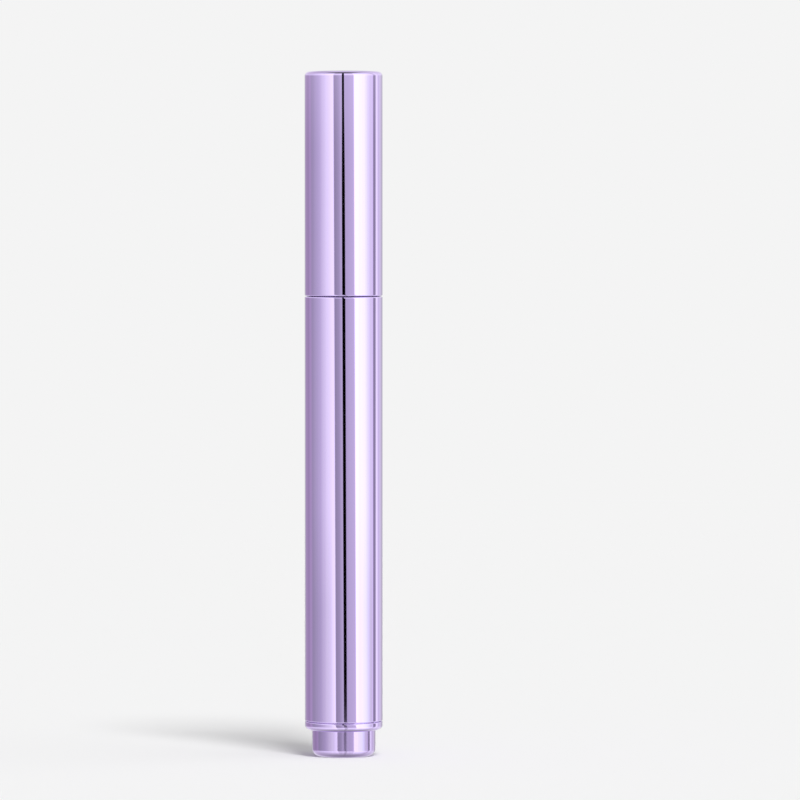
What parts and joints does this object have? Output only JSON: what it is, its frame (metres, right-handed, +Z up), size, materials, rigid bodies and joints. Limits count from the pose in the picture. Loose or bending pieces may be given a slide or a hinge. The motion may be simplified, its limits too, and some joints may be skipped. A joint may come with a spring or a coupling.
{
  "type": "nail oil pen",
  "caption": "Slim round click pen for nail oil with a pull-off metal cap, a slanted foam tip on a white neck, and a screw-fed plunger inside.",
  "frame": {"origin": "middle of the button's foot, on the surface that the pen stands on", "axes": "+Z up along the pen's axis towards the cap; the slanted face of the foam tip looks towards -Y"},
  "size_m": [0.015, 0.015, 0.1321],
  "materials": {
    "lilac_metal": "mirror-polished, anodised lilac",
    "liner_plastic": "moulded, satin white",
    "neck_plastic": "moulded, glossy white",
    "retainer_plastic": "moulded, pale translucent pink",
    "foam": "fine open-cell foam, pink",
    "natural_plastic": "moulded, natural",
    "steel": "bright drawn",
    "clear_plastic": "clear tube",
    "white_plastic": "moulded, white",
    "seal_rubber": "moulded, soft, natural",
    "acetal": "moulded, natural"
  },
  "bodies": {
    "barrel": {"barrel_shell": "lilac_metal", "end_ring": "lilac_metal", "reservoir": "clear_plastic", "neck_collar": "neck_plastic", "flow_plug": "natural_plastic", "feed_tube": "steel", "tip_core": "natural_plastic", "sponge_tip": "foam", "tip_retainer": "retainer_plastic", "drive_housing": "white_plastic", "ratchet_ring": "acetal", "drive_nut": "acetal", "return_spring": "steel"},
    "rotor": {"rotor": "acetal"},
    "plunger": {"plunger_head": "white_plastic", "plunger_seal": "seal_rubber"},
    "screw": {"screw_rod": "white_plastic"},
    "button": {"button_cap": "lilac_metal", "push_driver": "acetal"},
    "cap": {"cap_shell": "lilac_metal", "cap_liner": "liner_plastic"}
  },
  "joints": [
    {"name": "cap_pull", "type": "slide", "parent": "barrel", "child": "cap", "axis": [0, 0, 1], "range_m": [0, 0.032]},
    {"name": "button_press", "type": "slide", "parent": "barrel", "child": "button", "axis": [0, 0, 1], "range_m": [0, 0.00175], "stiffness_N_per_m": 600, "springref_m": -0.001, "deforming": ["return_spring"]},
    {"name": "plunger_feed", "type": "slide", "parent": "barrel", "child": "plunger", "axis": [0, 0, 1], "range_m": [0, 0.027]},
    {"name": "screw_turn", "type": "hinge", "parent": "plunger", "child": "screw", "pos_m": [0, 0, 0.05], "axis": [0, 0, 1], "range_deg": [-0.5, 3240.5]},
    {"name": "rotor_turn", "type": "hinge", "parent": "barrel", "child": "rotor", "pos_m": [0, 0, 0.038], "axis": [0, 0, 1], "range_deg": [-0.5, 3240.5]}
  ],
  "couplings": [
    {"joint": "screw_turn", "follows": "plunger_feed", "rad_per_m": 2094.4},
    {"joint": "rotor_turn", "follows": "plunger_feed", "rad_per_m": 2094.4}
  ]
}
